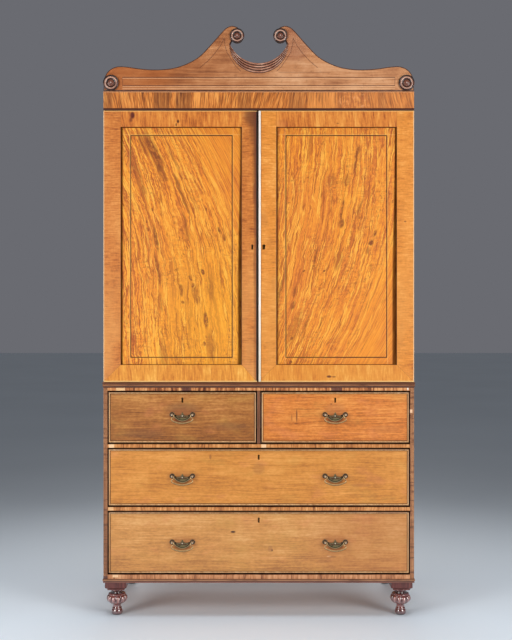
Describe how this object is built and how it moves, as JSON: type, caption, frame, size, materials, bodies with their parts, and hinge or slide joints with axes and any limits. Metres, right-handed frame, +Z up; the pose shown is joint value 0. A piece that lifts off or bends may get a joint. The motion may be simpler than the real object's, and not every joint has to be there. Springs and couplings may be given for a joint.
{
  "type": "linen press",
  "caption": "Two-part linen press: cupboard with recessed-panel doors and sliding trays over a chest of drawers on turned feet, with a swan-neck pediment",
  "frame": {"origin": "on the floor, in the middle of the overall box", "axes": "+Z up, +X to the right seen from the front, -Y is the front"},
  "size_m": [1.226, 0.5644, 2.3234],
  "materials": {
    "satinwood": "figured golden-orange veneer, french polished",
    "drawer_wood": "golden-brown veneer with horizontal grain, french polished",
    "crossbanding": "short-grain crossbanding, french polished",
    "case_wood": "brown polished hardwood",
    "mahogany": "dark polished mahogany",
    "pediment_wood": "paler worn mahogany with cut lines",
    "foot_wood": "dark red glossy mahogany",
    "pine": "plain unpolished pine",
    "brass": "old dull brass with darker hollows",
    "pale_brass": "bright polished pale brass"
  },
  "bodies": {
    "carcase": {"foot_front_left": "foot_wood", "foot_front_right": "foot_wood", "foot_back_left": "foot_wood", "foot_back_right": "foot_wood", "base_moulding": "mahogany", "chest_side_left": "case_wood", "chest_side_right": "case_wood", "chest_bottom_board": "crossbanding", "chest_top_board": "crossbanding", "drawer_divider_low": "crossbanding", "drawer_divider_high": "crossbanding", "drawer_partition": "mahogany", "chest_back": "pine", "cupboard_side_left": "case_wood", "cupboard_side_right": "case_wood", "cupboard_bottom_board": "pine", "cupboard_top_board": "pine", "cupboard_back": "pine", "frieze": "crossbanding", "waist_moulding": "mahogany", "hinge_left_low": "brass", "hinge_left_high": "brass", "hinge_right_low": "brass", "hinge_right_high": "brass", "pediment": "pediment_wood", "roundel_scroll_left": "mahogany", "roundel_corner_left": "mahogany", "pediment_bracket_left": "pine", "roundel_scroll_right": "mahogany", "roundel_corner_right": "mahogany", "pediment_bracket_right": "pine"},
    "door_left": {"door_left_frame": "satinwood", "door_left_panel": "satinwood"},
    "door_right": {"door_right_frame": "satinwood", "door_right_panel": "satinwood", "door_right_meeting_strip": "pale_brass"},
    "drawer_bottom": {"drawer_bottom_front": "drawer_wood", "drawer_bottom_box": "pine", "handle_plate_bottom_left": "brass", "handle_plate_bottom_right": "brass"},
    "drawer_middle": {"drawer_middle_front": "drawer_wood", "drawer_middle_box": "pine", "handle_plate_middle_left": "brass", "handle_plate_middle_right": "brass"},
    "drawer_short_left": {"drawer_short_left_front": "drawer_wood", "drawer_short_left_box": "pine", "handle_plate_short_left": "brass"},
    "drawer_short_right": {"drawer_short_right_front": "drawer_wood", "drawer_short_right_box": "pine", "handle_plate_short_right": "brass"},
    "bail_bottom_left": {"handle_bail_bottom_left": "brass"},
    "bail_bottom_right": {"handle_bail_bottom_right": "brass"},
    "bail_middle_left": {"handle_bail_middle_left": "brass"},
    "bail_middle_right": {"handle_bail_middle_right": "brass"},
    "bail_short_left": {"handle_bail_short_left": "brass"},
    "bail_short_right": {"handle_bail_short_right": "brass"},
    "tray_1": {"linen_tray_1": "pine"},
    "tray_2": {"linen_tray_2": "pine"},
    "tray_3": {"linen_tray_3": "pine"},
    "tray_4": {"linen_tray_4": "pine"}
  },
  "joints": [
    {"name": "door_left_hinge", "type": "hinge", "parent": "carcase", "child": "door_left", "pos_m": [-0.602, -0.2518, 1.4576], "axis": [0, 0, -1], "range_deg": [0, 115]},
    {"name": "door_right_hinge", "type": "hinge", "parent": "carcase", "child": "door_right", "pos_m": [0.602, -0.2518, 1.4576], "axis": [0, 0, 1], "range_deg": [0, 115]},
    {"name": "drawer_bottom_slide", "type": "slide", "parent": "carcase", "child": "drawer_bottom", "axis": [0, -1, 0], "range_m": [0, 0.38]},
    {"name": "drawer_middle_slide", "type": "slide", "parent": "carcase", "child": "drawer_middle", "axis": [0, -1, 0], "range_m": [0, 0.38]},
    {"name": "drawer_short_left_slide", "type": "slide", "parent": "carcase", "child": "drawer_short_left", "axis": [0, -1, 0], "range_m": [0, 0.38]},
    {"name": "drawer_short_right_slide", "type": "slide", "parent": "carcase", "child": "drawer_short_right", "axis": [0, -1, 0], "range_m": [0, 0.38]},
    {"name": "bail_bottom_left_swing", "type": "hinge", "parent": "drawer_bottom", "child": "bail_bottom_left", "pos_m": [-0.3, -0.2776, 0.29669], "axis": [-1, 0, 0], "range_deg": [0, 100]},
    {"name": "bail_bottom_right_swing", "type": "hinge", "parent": "drawer_bottom", "child": "bail_bottom_right", "pos_m": [0.3, -0.2776, 0.29669], "axis": [-1, 0, 0], "range_deg": [0, 100]},
    {"name": "bail_middle_left_swing", "type": "hinge", "parent": "drawer_middle", "child": "bail_middle_left", "pos_m": [-0.3, -0.2776, 0.55538], "axis": [-1, 0, 0], "range_deg": [0, 100]},
    {"name": "bail_middle_right_swing", "type": "hinge", "parent": "drawer_middle", "child": "bail_middle_right", "pos_m": [0.3, -0.2776, 0.55538], "axis": [-1, 0, 0], "range_deg": [0, 100]},
    {"name": "bail_short_left_swing", "type": "hinge", "parent": "drawer_short_left", "child": "bail_short_left", "pos_m": [-0.3, -0.2776, 0.79669], "axis": [-1, 0, 0], "range_deg": [0, 100]},
    {"name": "bail_short_right_swing", "type": "hinge", "parent": "drawer_short_right", "child": "bail_short_right", "pos_m": [0.3, -0.2776, 0.79669], "axis": [-1, 0, 0], "range_deg": [0, 100]},
    {"name": "tray_1_slide", "type": "slide", "parent": "carcase", "child": "tray_1", "axis": [0, -1, 0], "range_m": [0, 0.048]},
    {"name": "tray_2_slide", "type": "slide", "parent": "carcase", "child": "tray_2", "axis": [0, -1, 0], "range_m": [0, 0.048]},
    {"name": "tray_3_slide", "type": "slide", "parent": "carcase", "child": "tray_3", "axis": [0, -1, 0], "range_m": [0, 0.048]},
    {"name": "tray_4_slide", "type": "slide", "parent": "carcase", "child": "tray_4", "axis": [0, -1, 0], "range_m": [0, 0.048]}
  ]
}
